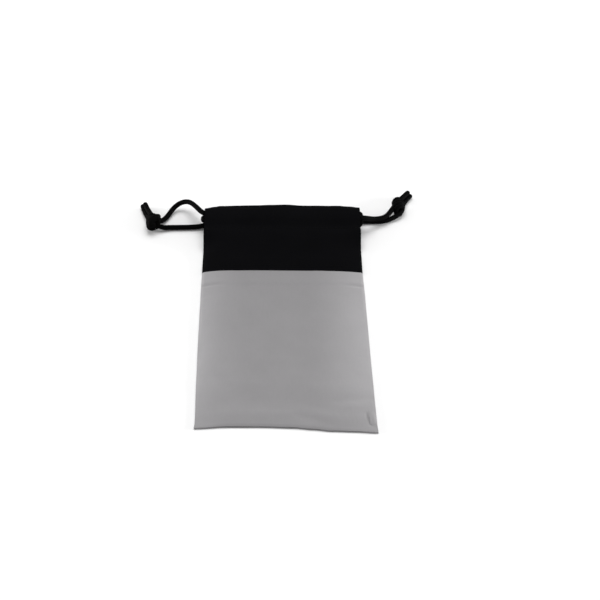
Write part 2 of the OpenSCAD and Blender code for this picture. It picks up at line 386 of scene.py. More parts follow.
def smooth_line(points: Sequence[Sequence[float]], gap: float) -> list[Vector]:
    """Runs a smooth curve through points and marks it off in equal steps.

    Args:
        points: The route.
        gap: Length of a step, in the points' own unit.

    Returns:
        Points along the curve, ends included.
    """
    p = [Vector(q) for q in points]
    p = [p[0] * 2 - p[1], *p, p[-1] * 2 - p[-2]]
    fine: list[Vector] = []
    for a, b, c, d in zip(p, p[1:], p[2:], p[3:]):
        t0, t1 = 0.0, (b - a).length ** 0.5
        t2 = t1 + (c - b).length ** 0.5
        t3 = t2 + (d - c).length ** 0.5
        for k in range(24):
            t = t1 + (t2 - t1) * k / 24
            a1 = a * ((t1 - t) / (t1 - t0)) + b * ((t - t0) / (t1 - t0))
            a2 = b * ((t2 - t) / (t2 - t1)) + c * ((t - t1) / (t2 - t1))
            a3 = c * ((t3 - t) / (t3 - t2)) + d * ((t - t2) / (t3 - t2))
            b1 = a1 * ((t2 - t) / (t2 - t0)) + a2 * ((t - t0) / (t2 - t0))
            b2 = a2 * ((t3 - t) / (t3 - t1)) + a3 * ((t - t1) / (t3 - t1))
            fine.append(b1 * ((t2 - t) / (t2 - t1)) + b2 * ((t - t1) / (t2 - t1)))
    fine.append(p[-2])
    total = sum((b - a).length for a, b in zip(fine, fine[1:]))
    count = max(2, round(total / gap))
    step, out, run, i = total / count, [fine[0]], 0.0, 0
    for a, b in zip(fine, fine[1:]):
        seg = (b - a).length
        while len(out) < count and run + seg >= step * len(out):
            out.append(a.lerp(b, (step * len(out) - run) / seg))
        run += seg
    return [*out, fine[-1]]


# --------------------------------------------------------------------------------------------------
# Finishes
# --------------------------------------------------------------------------------------------------


class Nodes:
    """A material's node tree, built a node at a time."""

    def __init__(self, name: str) -> None:
        """Starts an empty material with its shader and output."""
        self.material = bpy.data.materials.new(name)
        self.material.use_nodes = True
        self.tree = self.material.node_tree
        self.tree.nodes.clear()
        self.shader = self.add("ShaderNodeBsdfPrincipled")
        out = self.add("ShaderNodeOutputMaterial")
        self.tree.links.new(self.shader.outputs["BSDF"], out.inputs["Surface"])

    def add(self, kind: str, values: Optional[dict] = None, **settings: object) -> bpy.types.Node:
        """Adds a node.

        Args:
            kind: Blender's name of the node type.
            values: Input name or number to a constant, or to the output socket that feeds it.
            settings: The node's own properties.

        Returns:
            The node.
        """
        node = self.tree.nodes.new(kind)
        for key, value in settings.items():
            setattr(node, key, value)
        for key, value in (values or {}).items():
            self.put(node, key, value)
        return node

    def put(self, node: bpy.types.Node, key: object, value: object) -> None:
        """Sets or links one input of a node."""
        if isinstance(value, bpy.types.NodeSocket):
            self.tree.links.new(value, node.inputs[key])
        else:
            node.inputs[key].default_value = value

    def noise(self, vector: bpy.types.NodeSocket, scale: float, detail: float = 3.0) -> bpy.types.NodeSocket:
        """Noise of a given scale along a vector."""
        node = self.add("ShaderNodeTexNoise", {"Vector": vector, "Scale": scale, "Detail": detail})
        return node.outputs["Fac"]

    def waves(self, vector: bpy.types.NodeSocket, pitch: float, way: str) -> bpy.types.NodeSocket:
        """Even ribs of a given pitch across X or Y."""
        values = {"Vector": vector, "Scale": math.pi / 10 / pitch}
        node = self.add("ShaderNodeTexWave", values, bands_direction=way)
        return node.outputs["Fac"]

    def turned(self, vector: bpy.types.NodeSocket, turn: tuple[float, float, float]) -> bpy.types.NodeSocket:
        """A vector turned by angles in radians."""
        return self.add("ShaderNodeMapping", {"Vector": vector, "Rotation": turn}).outputs[0]

    def stretched(
        self, vector: bpy.types.NodeSocket, scale: tuple[float, float, float]
    ) -> bpy.types.NodeSocket:
        """A vector scaled along each axis."""
        return self.add("ShaderNodeMapping", {"Vector": vector, "Scale": scale}).outputs[0]

    def ranged(self, value: bpy.types.NodeSocket, low: float, high: float) -> bpy.types.NodeSocket:
        """A share from 0 to 1 spread over a range."""
        return self.add("ShaderNodeMapRange", {"Value": value, 3: low, 4: high}).outputs[0]

    def fade(
        self, value: bpy.types.NodeSocket, span: tuple[float, float], ends: tuple[float, float],
        **settings: object,
    ) -> bpy.types.NodeSocket:
        """A value that goes from one end to the other as the input crosses a span."""
        values = {"Value": value, 1: span[0], 2: span[1], 3: ends[0], 4: ends[1]}
        return self.add("ShaderNodeMapRange", values, **settings).outputs[0]

    def bumped(self, height: bpy.types.NodeSocket, strength: float, deep: float) -> bpy.types.NodeSocket:
        """A normal raised by a height."""
        values = {"Height": height, "Strength": strength, "Distance": deep}
        return self.add("ShaderNodeBump", values).outputs["Normal"]

    def math(self, do: str, a: object, b: object = 0.0, c: object = 0.0) -> bpy.types.NodeSocket:
        """One step of arithmetic."""
        return self.add("ShaderNodeMath", {0: a, 1: b, 2: c}, operation=do).outputs[0]

    def ramp(
        self, value: bpy.types.NodeSocket, stops: Sequence[tuple[float, tuple[float, float, float]]]
    ) -> bpy.types.NodeSocket:
        """A colour ramp through stops (position, colour)."""
        node = self.add("ShaderNodeValToRGB", {"Fac": value})
        bar = node.color_ramp.elements
        while len(bar) < len(stops):
            bar.new(0.5)
        for element, (at, colour) in zip(bar, stops):
            element.position, element.color = at, (*colour, 1)
        return node.outputs["Color"]


@dataclass(frozen=True)
class BrushedCloth:
    """Microfibre: a fine twill under a short brushed nap."""

    name: str
    colour: tuple[float, float, float]
    spread: float = 0.06
    rough: float = 0.92
    sheen: float = 0.3
    specular: float = 0.2
    weave: float = 0.42 * MM
    relief: float = 1.0
    rubbed: float = 0.0

    def shade(self, share: float) -> tuple[float, float, float]:
        """The base colour, lighter or darker by a share."""
        return tuple(min(1.0, c * (1 + share)) for c in self.colour)

    def material(self) -> bpy.types.Material:
        """Builds the cloth's material.

        Returns:
            The material, which reads the piece's "cloth" UV map.
        """
        n = Nodes(self.name)
        on_cloth = n.add("ShaderNodeUVMap", uv_map="cloth").outputs["UV"]
        turned = n.turned(on_cloth, (0, 0, math.radians(38)))
        twill = n.waves(turned, self.weave, "X")
        cross = n.waves(on_cloth, self.weave * 0.8, "Y")
        nap = n.noise(on_cloth, 2600, 4)
        lint = n.noise(on_cloth, 700, 3)
        patches = n.noise(on_cloth, 45, 3)
        brushed = n.stretched(on_cloth, (900, 170, 1))
        strokes = n.noise(brushed, 1, 2)
        tone = n.math("ADD", n.math("MULTIPLY", patches, 0.42), n.math("MULTIPLY", nap, 0.26))
        tone = n.math("ADD", tone, n.math("MULTIPLY", strokes, 0.16))
        tone = n.math("ADD", tone, n.math("MULTIPLY", lint, 0.16))
        dark, light = self.shade(-self.spread), self.shade(self.spread)
        colour = n.ramp(tone, [(0.3, dark), (0.5, self.colour), (0.7, light)])
        if self.rubbed:
            colour = self.rub(n, colour)
        n.put(n.shader, "Base Color", colour)
        n.put(n.shader, "Roughness", n.ranged(lint, self.rough - 0.06, self.rough + 0.04))
        n.put(n.shader, "Specular IOR Level", self.specular)
        n.put(n.shader, "Sheen Weight", self.sheen)
        n.put(n.shader, "Sheen Roughness", 0.55)
        height = n.math("ADD", n.math("MULTIPLY", twill, 0.3), n.math("MULTIPLY", cross, 0.16))
        height = n.math("ADD", height, n.math("MULTIPLY", nap, 0.5))
        height = n.math("ADD", height, n.math("MULTIPLY", strokes, 0.25))
        n.put(n.shader, "Normal", n.bumped(height, 0.35 * self.relief, 0.12 * MM))
        return n.material

    def rub(self, n: Nodes, colour: bpy.types.NodeSocket) -> bpy.types.NodeSocket:
        """Lightens the nap where handling has rubbed it: towards the side folds and the closed end.

        Args:
            n: The material's nodes.
            colour: The cloth's colour so far.

        Returns:
            The colour with the rubbed areas in it.
        """
        place = n.add("ShaderNodeTexCoord").outputs["Object"]
        split = n.add("ShaderNodeSeparateXYZ", {0: place}).outputs
        across = n.math("ABSOLUTE", n.math("ADD", split["X"], 4 * MM))
        side = n.fade(across, (14 * MM, 56 * MM), (0.0, self.rubbed), interpolation_type="SMOOTHSTEP")
        side = n.math("MULTIPLY", side, n.fade(split["Y"], (-88 * MM, -45 * MM), (0.35, 1.0)))
        end = n.fade(split["Y"], (-80 * MM, 36 * MM), (1.02, 0.86))
        values = {0: colour, "Scale": n.math("ADD", end, side)}
        return n.add("ShaderNodeVectorMath", values, operation="SCALE").outputs[0]


@dataclass(frozen=True)
class SpunThread:
    """Sewing thread: two plies laid round each other."""

    name: str
    colour: tuple[float, float, float]
    sheen: float = 0.2
    specular: float = 0.25
    ply: float = 0.32 * MM

    def material(self) -> bpy.types.Material:
        """Builds the thread's material on Object coordinates."""
        n = Nodes(self.name)
        at = n.add("ShaderNodeTexCoord").outputs["Object"]
        turned = n.turned(at, (0.3, 0.2, math.radians(35)))
        plies = n.waves(turned, self.ply, "X")
        fuzz = n.noise(at, 4200, 3)
        dark = tuple(c * 0.72 for c in self.colour)
        light = tuple(min(1.0, c * 1.2) for c in self.colour)
        tone = n.math("ADD", n.math("MULTIPLY", plies, 0.6), n.math("MULTIPLY", fuzz, 0.4))
        n.put(n.shader, "Base Color", n.ramp(tone, [(0.2, dark), (0.8, light)]))
        n.put(n.shader, "Roughness", n.ranged(fuzz, 0.6, 0.8))
        n.put(n.shader, "Specular IOR Level", self.specular)
        n.put(n.shader, "Sheen Weight", self.sheen)
        n.put(n.shader, "Normal", n.bumped(tone, 0.5, 0.05 * MM))
        return n.material


@dataclass(frozen=True)
class RoundBraid:
    """Polyester drawcord: two sets of strands plaited over and under each other."""

    name: str
    colour: tuple[float, float, float]
    plaits: int = 8
    pitch: float = 2.4 * MM
    rough: float = 0.62

    def material(self) -> bpy.types.Material:
        """Builds the cord's material.

        Returns:
            The material, which reads the piece's "braid" UV map: turns round the cord, and metres along it.
        """
        n = Nodes(self.name)
        at = n.add("ShaderNodeUVMap", uv_map="braid").outputs["UV"]
        parts = n.add("ShaderNodeSeparateXYZ", {"Vector": at})
        round_, along = parts.outputs[0], parts.outputs[1]
        turns = n.math("MULTIPLY", round_, 2 * math.pi * self.plaits)
        run = n.math("MULTIPLY", along, 2 * math.pi * self.plaits / 2 / self.pitch)
        one = n.math("SINE", n.math("ADD", turns, run))
        two = n.math("SINE", n.math("SUBTRACT", turns, run))
        over = n.math("MULTIPLY", one, two)
        fibre = n.stretched(at, (60, 9000, 1))
        strands = n.noise(fibre, 1, 3)
        fuzz = n.noise(at, 2500, 2)
        tone = n.math("MULTIPLY_ADD", over, 0.3, n.math("MULTIPLY_ADD", strands, 0.3, 0.35))
        dark = tuple(c * 0.35 for c in self.colour)
        light = tuple(min(1.0, c * 1.7) for c in self.colour)
        n.put(n.shader, "Base Color", n.ramp(tone, [(0.15, dark), (0.5, self.colour), (0.9, light)]))
        n.put(n.shader, "Roughness", n.ranged(fuzz, self.rough - 0.1, self.rough + 0.12))
        n.put(n.shader, "Specular IOR Level", 0.02)
        n.put(n.shader, "Normal", n.bumped(tone, 0.6, 0.15 * MM))
        return n.material


@dataclass(frozen=True)
class StudioPaper:
    """The pale floor."""

    name: str = "studio_paper"
    colour: tuple[float, float, float] = (0.93, 0.93, 0.93)

    def material(self) -> bpy.types.Material:
        """Builds a matt white with the faintest tooth."""
        n = Nodes(self.name)
        at = n.add("ShaderNodeTexCoord").outputs["Object"]
        n.put(n.shader, "Base Color", (*self.colour, 1))
        n.put(n.shader, "Roughness", 0.9)
        n.put(n.shader, "Specular IOR Level", 0.1)
        tooth = n.noise(at, 300, 2)
        lift = n.add("ShaderNodeBump", {"Height": tooth, "Strength": 0.02}).outputs["Normal"]
        n.put(n.shader, "Normal", lift)
        return n.material


@dataclass
class Finishes:
    """Every finish of the pouch, made once and shared."""

    grey_cloth: bpy.types.Material = field(init=False)
    black_cloth: bpy.types.Material = field(init=False)
    facing_cloth: bpy.types.Material = field(init=False)
    seam_edges: bpy.types.Material = field(init=False)
    grey_thread: bpy.types.Material = field(init=False)
    black_thread: bpy.types.Material = field(init=False)
    drawcord: bpy.types.Material = field(init=False)

    def __post_init__(self) -> None:
        """Builds the materials."""
        black = (0.0025, 0.0025, 0.003)
        self.grey_cloth = BrushedCloth(
            "grey_cloth", (0.243, 0.2375, 0.2435), sheen=0.25, specular=0.1, rubbed=0.37
        ).material()
        self.black_cloth = BrushedCloth(
            "black_cloth", black, spread=0.25, sheen=0.0, specular=0.02, relief=1.2
        ).material()
        self.facing_cloth = BrushedCloth(
            "facing_cloth", (0.004, 0.004, 0.0045), sheen=0.01, specular=0.03
        ).material()
        self.seam_edges = BrushedCloth("seam_edges", (0.2, 0.2, 0.21), spread=0.16, relief=2.0).material()
        self.grey_thread = SpunThread("grey_thread", (0.25, 0.25, 0.26)).material()
        self.black_thread = SpunThread(
            "black_thread", (0.0032, 0.0032, 0.0036), sheen=0.0, specular=0.03
        ).material()
        self.drawcord = RoundBraid("drawcord", (0.0016, 0.0016, 0.0017)).material()

    def dress(self, piece: bpy.types.Object, slot: str) -> bpy.types.Object:
        """Gives a piece the finish of a slot, and names the slot."""
        piece.data.materials.clear()
        piece.data.materials.append(getattr(self, slot))
        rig.slot(piece, slot)
        return piece


# --------------------------------------------------------------------------------------------------
# The lie of the cloth
# --------------------------------------------------------------------------------------------------


@dataclass
class Lie:
    """How the two cloths lie: the outline, the swell of the front, and its creases. All in millimetres."""

    half_w: float = 45.0
    half_l: float = 90.0
    border_y: float = 37.0
    vent_y: float = 56.0
    hinge_y: float = 68.0
    cloth: float = 0.5
    edge_z: float = 1.05
    shoulder_left: float = 18.0
    shoulder_right: float = 30.0
    pull_reach: float = 36.0

    hem_line: Sequence[tuple[float, float]] = (
        (-45, -88.1), (-29, -86.9), (-12, -87.0), (4, -87.6), (13, -88.7), (23, -90.0), (34, -90.4),
        (45, -91.3),
    )
    left_edge: Sequence[tuple[float, float]] = (
        (-90, -45.0), (-84, -44.6), (-52, -45.0), (-20, -45.2), (20, -45.2), (37, -45.1), (90, -45.0),
    )
    right_edge: Sequence[tuple[float, float]] = (
        (-92, 45.6), (-84, 45.3), (-63, 45.1), (-32, 44.9), (13, 44.8), (37, 44.5), (54, 44.7), (90, 45.1),
    )
    crown: Sequence[tuple[float, float]] = (
        (-91, 1.35), (-80, 2.3), (-58, 3.4), (-28, 3.9), (4, 3.9), (24, 3.5), (37, 3.2), (48, 4.6), (68, 9.3),
    )
    droop: Sequence[tuple[float, float]] = (
        (-45, 2.7), (-39, 1.7), (-36, 1.1), (-20, 0.7), (0, 0.0), (12, 0.6), (31, 0.6), (38, 1.2), (45, 2.0),
    )

    def outline(self, x: float, y: float) -> tuple[float, float]:
        """Moves a point of the plain rectangle to the pouch's own uneven outline.

        Args:
            x: Across, -45 to 45.
            y: Along, -90 to 90.

        Returns:
            The moved point.
        """
        share = ease((-y - 30) / 60)
        ny = y + (graph(x, self.hem_line) + self.half_l) * share
        edge = -graph(ny, self.left_edge) if x < 0 else graph(ny, self.right_edge)
        nx = x * edge / self.half_w
        return nx, ny

    def creases(self, x: float, y: float) -> float:
        """Height of the folds and dents in the front cloth.

        Args:
            x: Across, in mm.
            y: Along, in mm.

        Returns:
            Height to add, in mm.
        """
        gap = self.half_w - abs(x)
        p = Vector((x, y, 0))
        z = 0.28 * noise.noise(p / 24 + Vector((3.1, 7.7, 0))) + 0.08 * noise.noise(p / 9)
        pucker = math.sin(y / 1.6 + 5 * noise.noise(Vector((x / 30, y / 12, 5))))
        z += 0.2 * bump(gap, 5) * pucker * noise.noise(Vector((x / 40, y / 9, 8))) * ease(gap / 2)
        tick = bump(gap - 2, 8)
        z -= 0.6 * bump(y - 24.6, 0.9) * tick
        z += 0.14 * bump(y - 27.5, 2.2) * tick
        z += 0.1 * ease((y - 23.6) / 1.8) * ease(gap / 8)
        for a, b, wide, deep in (
            ((27.0, -70.5), (43.0, -66.0), 2.6, 0.34),
            ((33.0, -74.0), (44.0, -71.5), 2.0, -0.12),
            ((6.0, -82.5), (21.0, -85.8), 2.6, 0.3),
            ((9.0, -78.0), (22.0, -80.5), 2.4, -0.12),
            ((-42.0, -46.0), (-29.0, -62.0), 3.2, 0.24),
            ((-43.0, -55.0), (-33.0, -70.0), 2.6, -0.14),
            ((-43.0, -68.0), (-36.0, -83.0), 2.6, 0.16),
            ((40.5, -77.5), (41.6, -84.5), 0.7, 0.62),
            ((41.4, -84.4), (44.2, -87.4), 0.7, 0.5),
            ((43.4, -78.0), (43.8, -83.5), 1.3, -0.55),
        ):
            d, _, t = to_segment(x, y, a, b)
            z -= deep * bump(d, wide) * (0.7 + 0.3 * math.sin(min(1, max(0, t)) * math.pi))
        return z

    def top(self, x: float, y: float) -> float:
        """Outer height of the front cloth above the floor."""
        left = x < 0
        gap = max(0.0, self.half_w - abs(x))
        reach = self.shoulder_left if left else self.shoulder_right
        lift = ease((y - self.vent_y) / (self.hinge_y - self.vent_y))
        crown = graph(y, self.crown)
        t = min(1.0, gap / reach)
        side = 1 - (1 - t) ** 2.3
        side = side + (1 - side) * lift
        edge = self.edge_z + 0.75 * bump(y - self.border_y, 26)
        z = edge + (crown - edge) * side
        toe = y + self.half_l
        fade = ease(gap / 1.5) * ease(toe / 2) * (1 - 0.7 * ease((y - 50) / 18))
        z += self.creases(x, y) * fade
        for near in (gap + 1.4 * lift, toe):
            if near < 1.3:
                z -= 0.45 * (1 - math.sqrt(max(0.0, 1 - (1 - near / 1.3) ** 2)))
        return max(z, self.cloth + 0.45)

    def hem_drop(self, x: float, y: float) -> float:
        """How far the mouth's folded edge sags towards its corners."""
        return graph(x, self.droop) * ease((y - 83.5) / 5.5)

    def on_front(self, x: float, y: float, below: float = 0.0) -> Vector:
        """A point on the front cloth."""
        nx, ny = self.outline(x, y)
        return Vector((nx, ny, self.top(x, y) - below))

    def on_back(self, x: float, y: float, z: float = 0.0) -> Vector:
        """A point on the back cloth, which lies flat."""
        nx, ny = self.outline(x, y)
        return Vector((nx, ny, z))

    def gather(self, piece: bpy.types.Object, side: Side) -> None:
        """Makes one side of the pouch draw in as the cords are pulled.

        Args:
            piece: A piece on one side of the middle line.
            side: Which side it is on.
        """
        reach = self.pull_reach * MM
        start = Vector((0, self.hinge_y * MM, 0))
        end = start + Vector((side.value * 0.8, 0.6, 0)) * reach
        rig.blend(piece, "pouch", side.far_cord, start=start, end=end)


# --------------------------------------------------------------------------------------------------
# The pouch
# --------------------------------------------------------------------------------------------------


@dataclass
class Panels:
    """The grey body cloths, the black bands at the mouth and the facings behind them."""

    lie: Lie
    finishes: Finishes
    cell: float = 0.9
    tuck: float = 0.6
    facing_from: float = 24.0
    facing_half: float = 36.6
    facing_thick: float = 0.4

    def half(
        self, name: str, node: str, slot: str, side: Side, span: tuple[float, float], wide: float,
        height: Callable[[float, float], Vector], thick: float,
    ) -> bpy.types.Object:
        """Cuts one half of a cloth and hangs it on the two bodies it bends between.

        Args:
            name: The piece's name.
            node: The CAD node that it stands for.
            slot: Its material slot.
            side: Which half.
            span: Where it starts and ends along the pouch, in mm.
            wide: How far it reaches from the middle line, in mm.
            height: Gives the outer surface at (x, y).
            thick: Thickness, in mm.

        Returns:
            The piece.
        """
        y0, y1 = span
        inner, outer = (-wide, 0.0) if side is Side.LEFT else (0.0, wide)
        cells = (round(wide / self.cell), round((y1 - y0) / self.cell))

        def place(u: float, v: float) -> Vector:
            return height(inner + (outer - inner) * u, y0 + (y1 - y0) * v)

        piece = cloth_piece(name, cells, place, (wide, y1 - y0), thick, (inner, y0))
        self.finishes.dress(piece, slot)
        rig.sheet(piece, flat=(wide * MM, (y1 - y0) * MM), held="laid")
        self.lie.gather(piece, side)
        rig.replaces(piece, node)
        log.info("%s: %.0f x %.0f mm of cloth", name, wide, y1 - y0)
        return piece

    def build(self) -> None:
        """Lays the back cloth, the facings and the front cloth."""
        lie = self.lie
        foot, border, hinge, w = -lie.half_l, lie.border_y, lie.hinge_y, lie.half_w

        def back(x: float, y: float) -> Vector:
            rise = 0.1 * bump(w - abs(x), 1.2)
            return lie.on_back(x, y, lie.cloth + rise)

        def back_facing(x: float, y: float) -> Vector:
            return lie.on_back(x, y, lie.cloth + self.facing_thick + 0.02)

        def front_facing(x: float, y: float) -> Vector:
            return lie.on_front(x, y, lie.cloth + 0.06)

        body, band, facing = (foot, border), (border, hinge), (self.facing_from, hinge)
        front_band = (border, hinge + self.tuck)
        half, thin = self.facing_half, self.facing_thick
        cloths = (
            ("back_panel", "back_body_panel", "grey_cloth", body, w, back, lie.cloth),
            ("front_panel", "front_body_panel", "grey_cloth", body, w, lie.on_front, lie.cloth),
            ("back_band", "back_top_band", "black_cloth", band, w, back, lie.cloth),
            ("front_band", "front_top_band", "black_cloth", front_band, w, lie.on_front, lie.cloth),
            ("back_facing", "back_facing", "facing_cloth", facing, half, back_facing, thin),
            ("front_facing", "front_facing", "facing_cloth", facing, half, front_facing, thin),
        )
        for side in Side:
            for name, node, slot, span, wide, height, thick in cloths:
                self.half(f"{name}_{side.word}", node, slot, side, span, wide, height, thick)


@dataclass
class Hems:
    """The two folded hems that hold the cords."""

    lie: Lie
    finishes: Finishes
    half_w: float = 44.8
    cell: float = 0.8
    front_z: float = 8.3
    thick: float = 4.1
    fold_y: float = 87.95
    furthest_y: float = 90.6
    cloth: float = 0.5
    keep: float = 1 / 3

    def profile(self) -> list[Vector]:
        """The hem's outer line from its lower edge, round the fold, to its upper edge, as (0, y, z) in mm."""
        r = self.thick / 2
        flat = [(0, 66.6, 0.0), (0, 72.0, 0.0), (0, 79.0, 0.0)]
        turns = (0.0, 0.4, 0.9, 1.57, 2.2, 2.7, 3.14)
        fold = [(0, self.fold_y + r * math.sin(a), r - r * math.cos(a)) for a in turns]
        down = [
            (0, 83.5, 4.12), (0, 79.2, 4.02), (0, 76.4, 3.4), (0, 74.0, 2.2), (0, 71.9, 1.2), (0, 70.2, 1.0),
            (0, 67.0, 0.93),
        ]
        return smooth_line([*flat, *fold, *down], 0.7)

    def ruffle(self, x: float, y: float) -> float:
        """Soft pleats where the hem rides up on its cords, in mm."""
        share = bump(y - 80, 6.5)
        sway = 3.2 * noise.noise(Vector((x / 13, 2.0, 0)))
        return share * (0.13 * math.sin(x / 1.6 + sway) + 0.1 * noise.noise(Vector((x / 4.5, y / 9, 1))))

    def build_one(self, face: Face) -> bpy.types.Object:
        """Folds one hem.

        Args:
            face: Front or back.

        Returns:
            The piece.
        """
        line = self.profile()
        line.reverse()
        lift = self.front_z if face is Face.FRONT else 0.0
        count = len(line) - 1

        def place(u: float, v: float) -> Vector:
            x = self.half_w * (2 * u - 1)
            at = v * count
            i = min(count - 1, int(at))
            p = line[i].lerp(line[i + 1], at - i)
            upper = ease((p.z - 0.8) / 1.5)
            z = p.z + self.ruffle(x, p.y) * upper
            if face is Face.FRONT:
                z -= self.lie.hem_drop(x, p.y)
            else:
                z -= min(1.1, self.lie.hem_drop(x, p.y)) * upper
            wave = 0.35 * noise.noise(Vector((x / 11, 4.0, lift))) * ease((p.y - 80) / 8)
            y = min(p.y + wave, self.furthest_y)
            edge = graph(y, self.lie.right_edge if x > 0 else self.lie.left_edge)
            return Vector((abs(edge) / self.lie.half_w * x, y, max(0.0, z) + lift))

        cells = (round(2 * self.half_w / self.cell), count)
        length = sum((b - a).length for a, b in zip(line, line[1:]))
        name = f"{face.value}_hem_fold"
        piece = cloth_piece(name, cells, place, (2 * self.half_w, length), self.cloth, (0, 300))
        self.finishes.dress(piece, "black_cloth")
        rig.sheet(piece, flat=(2 * self.half_w * MM, length * MM), held="folded")
        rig.ride(piece, "front_flap" if face is Face.FRONT else "pouch")
        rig.squash(piece, "left_pull", axis=(1, 0, 0), anchor=(0, 0, 0), keep=self.keep)
        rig.replaces(piece, f"{face.value}_hem")
        log.info("%s: %.0f mm of cloth folded round", name, length)
        return piece

    def build(self) -> None:
        """Folds both hems."""
        for face in (Face.BACK, Face.FRONT):
            self.build_one(face)


@dataclass
class Seams:
    """The sewn edges: the turned-in strips beside the sides and the foot."""

    lie: Lie
    finishes: Finishes
    inner: float = 36.8
    outer: float = 42.7
    low: float = 0.5
    thick: float = 0.34

    def strip(
        self, name: str, span: tuple[float, float], x0: float, x1: float, ragged: float
    ) -> bpy.types.Object:
        """Cuts one turned-in strip with a slightly ragged inner edge."""

        def place(u: float, v: float) -> Vector:
            x, y = x0 + (x1 - x0) * u, span[0] + (span[1] - span[0]) * v
            fray = ragged * noise.noise(Vector((x * 1.3, y * 1.3, 2)))
            if abs(x1 - x0) < abs(span[1] - span[0]):
                x += fray * (1 if x < 0 else -1) * (1 - abs(x) / 42)
            nx, ny = self.lie.outline(x, y)
            wavy = 0.05 * noise.noise(Vector((x / 3, y / 5, 3)))
            return Vector((nx, ny, self.low + self.thick + 0.12 + wavy))

        cells = (max(6, round(abs(x1 - x0) / 0.9)), max(6, round((span[1] - span[0]) / 0.9)))
        return cloth_piece(name, cells, place, (abs(x1 - x0), span[1] - span[0]), self.thick, (x0, span[0]))

    def build(self) -> None:
        """Makes the side and foot seams."""
        for side in Side:
            edges = (-self.outer, -self.inner) if side is Side.LEFT else (self.inner, self.outer)
            piece = self.strip(f"{side.word}_side_seam_edges", (-81.0, 56.0), *edges, 2.0)
            self.finishes.dress(piece, "seam_edges")
            self.lie.gather(piece, side)
            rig.replaces(piece, f"{side.word}_side_seam")
            log.info("%s", piece.name)
        foot = self.strip("bottom_seam_edges", (-87.0, -81.8), -42.5, 42.5, 0.5)
        self.finishes.dress(foot, "seam_edges")
        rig.ride(foot, "pouch")
        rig.replaces(foot, "bottom_seam")
        log.info("%s", foot.name)


@dataclass
class Stitching:
    """Rows of stitches and the bar tacks."""

    lie: Lie
    finishes: Finishes
    hems: Hems
    pitch: float = 2.8
    length: float = 2.1
    width: float = 0.42
    height: float = 0.26
    sink: float = 0.02
    proud: float = 0.03
    row_y: float = 41.4

    def row(self, name: str, points: Sequence[tuple[Vector, Vector]]) -> bpy.types.Object:
        """Sews a row of stitches.

        Args:
            name: The piece's name.
            points: Start and end of each stitch on the cloth, in mm.

        Returns:
            The piece: one small rounded stitch for each pair.
        """
        bm = bmesh.new()
        for a, b in points:
            made = bmesh.ops.create_uvsphere(bm, u_segments=8, v_segments=6, radius=0.5)["verts"]
            along = (b - a).normalized()
            turn = along.to_track_quat("X", "Z").to_matrix().to_4x4()
            size = Matrix.Diagonal(((b - a).length, self.width, self.height, 1))
            bmesh.ops.transform(bm, matrix=Matrix.Translation((a + b) / 2) @ turn @ size, verts=made)
        return link(name, bm, sharp=180)

    def across(self, height: Callable, y: float, x0: float, x1: float) -> list[tuple[Vector, Vector]]:
        """Stitches along X between two places, on the surface that height gives."""
        count = int(abs(x1 - x0) / self.pitch)
        out = []
        for k in range(count):
            x = x0 + (x1 - x0) * (k + 0.12) / count
            step = (x1 - x0) / abs(x1 - x0) * self.length
            sway = 0.12 * noise.noise(Vector((x, y, 9)))
            out.append((height(x, y + sway), height(x + step, y + sway)))
        return out

    def along(self, height: Callable, x: float, y0: float, y1: float) -> list[tuple[Vector, Vector]]:
        """Stitches along Y between two places."""
        count = int((y1 - y0) / self.pitch)
        starts = [y0 + (y1 - y0) * k / count for k in range(count)]
        return [(height(x, y), height(x, y + self.length)) for y in starts]

    def finish(self, piece: bpy.types.Object, slot: str, node: str, side: Optional[Side]) -> None:
        """Dresses a row, hangs it on its body and names its CAD node."""
        self.finishes.dress(piece, slot)
        if side is None:
            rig.ride(piece, "pouch")
        else:
            self.lie.gather(piece, side)
        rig.replaces(piece, node)
        log.info("%s", piece.name)

    def build(self) -> None:
        """Sews every row."""
        lie = self.lie

        def front(x: float, y: float) -> Vector:
            return lie.on_front(x, y, -self.proud)

        def under(x: float, y: float) -> Vector:
            return lie.on_back(x, y, -self.sink)

        def inside(x: float, y: float) -> Vector:
            return lie.on_back(x, y, 1.0)

        for side in Side:
            s = side.value
            row = self.row(f"{side.word}_seam_stitches", self.along(inside, s * 41.6, -81, 56))
            self.finish(row, "grey_thread", f"{side.word}_seam_stitching", side)
            seam = (self.row_y, s * 0.4, s * 43.6)
            row = self.row(f"front_band_stitches_{side.word}", self.across(front, *seam))
            self.finish(row, "black_thread", "front_band_stitching", side)
            row = self.row(f"back_band_stitches_{side.word}", self.across(under, *seam))
            self.finish(row, "black_thread", "back_band_stitching", side)
            tack = []
            for k in range(9):
                y = 50.6 + 0.56 * k
                tack.append((front(s * 43.4, y), front(s * 44.85, y + 0.1)))
            row = self.row(f"{side.word}_bar_tack_stitches", tack)
            self.finish(row, "black_thread", f"{side.word}_bar_tack", side)
        foot = self.row("bottom_seam_stitches", self.across(inside, -86.6, -42, 42))
        self.finish(foot, "grey_thread", "bottom_seam_stitching", None)
        for face in Face:
            lift = self.hems.front_z + 1.02 if face is Face.FRONT else 1.02

            def on_hem(x: float, y: float, z: float = lift) -> Vector:
                return Vector((x, y, z))

            row = self.row(f"{face.value}_hem_stitches", self.across(on_hem, 69.9, -43.4, 43.4))
            self.finishes.dress(row, "black_thread")
            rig.ride(row, "front_flap" if face is Face.FRONT else "pouch")
            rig.squash(row, "left_pull", axis=(1, 0, 0), anchor=(0, 0, 0), keep=self.hems.keep)
            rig.replaces(row, f"{face.value}_hem_stitching")
            log.info("%s", row.name)


# --------------------------------------------------------------------------------------------------
# The drawcords
# --------------------------------------------------------------------------------------------------


